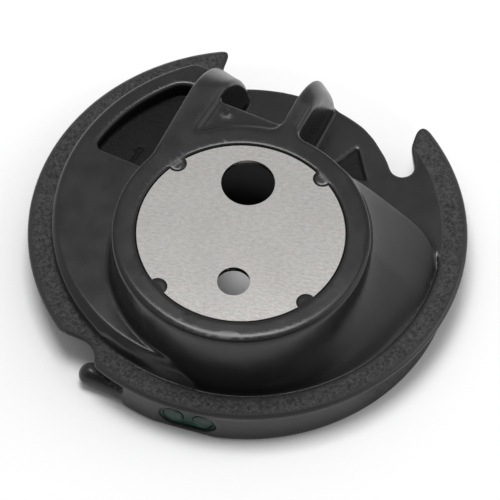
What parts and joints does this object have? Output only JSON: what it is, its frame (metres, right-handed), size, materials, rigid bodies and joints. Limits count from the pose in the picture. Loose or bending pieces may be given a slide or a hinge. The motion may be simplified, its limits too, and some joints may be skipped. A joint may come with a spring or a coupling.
{
  "type": "bobbin case",
  "caption": "Round drop-in bobbin case for a sewing hook, upside down: steel plate on the cup, race flange with hook notch, thread rails, and tension spring with screws in the rim.",
  "frame": {"origin": "middle of the footprint, on the face the case stands on", "axes": "+Z from the rim to the cup's end face and steel plate, along the hook's axis; +Y from the window in the rim towards the needle side"},
  "size_m": [0.044, 0.0434, 0.0128],
  "materials": {
    "black_plastic": "moulded, soft sheen, finely textured race",
    "satin_steel": "satin, fine grain one way",
    "spring_steel": "satin",
    "screw_steel": "satin",
    "brass": "plain",
    "green_lacquer": "glossy, brushed on"
  },
  "bodies": {
    "case": {"case_body": "black_plastic", "base_plate": "satin_steel", "fixing_screw": "screw_steel", "fixing_insert": "brass", "adjusting_insert": "brass", "fixing_screw_lacquer": "green_lacquer"},
    "adjusting_screw": {"adjusting_screw": "screw_steel", "adjusting_screw_lacquer": "green_lacquer"},
    "tension_spring": {"tension_spring": "spring_steel", "window_lacquer": "green_lacquer"}
  },
  "joints": [
    {"name": "adjusting_screw_turn", "type": "hinge", "parent": "case", "child": "adjusting_screw", "pos_m": [-0.00172, -0.02053, 0.0019], "axis": [-0.0873, -0.9962, 0], "range_deg": [-135, 135]},
    {"name": "tension_spring_flex", "type": "hinge", "parent": "case", "child": "tension_spring", "pos_m": [-0.00456, -0.01976, 0.0019], "axis": [0, 0, -1], "range_deg": [0, 1], "stiffness_Nm_per_rad": 0.12}
  ]
}
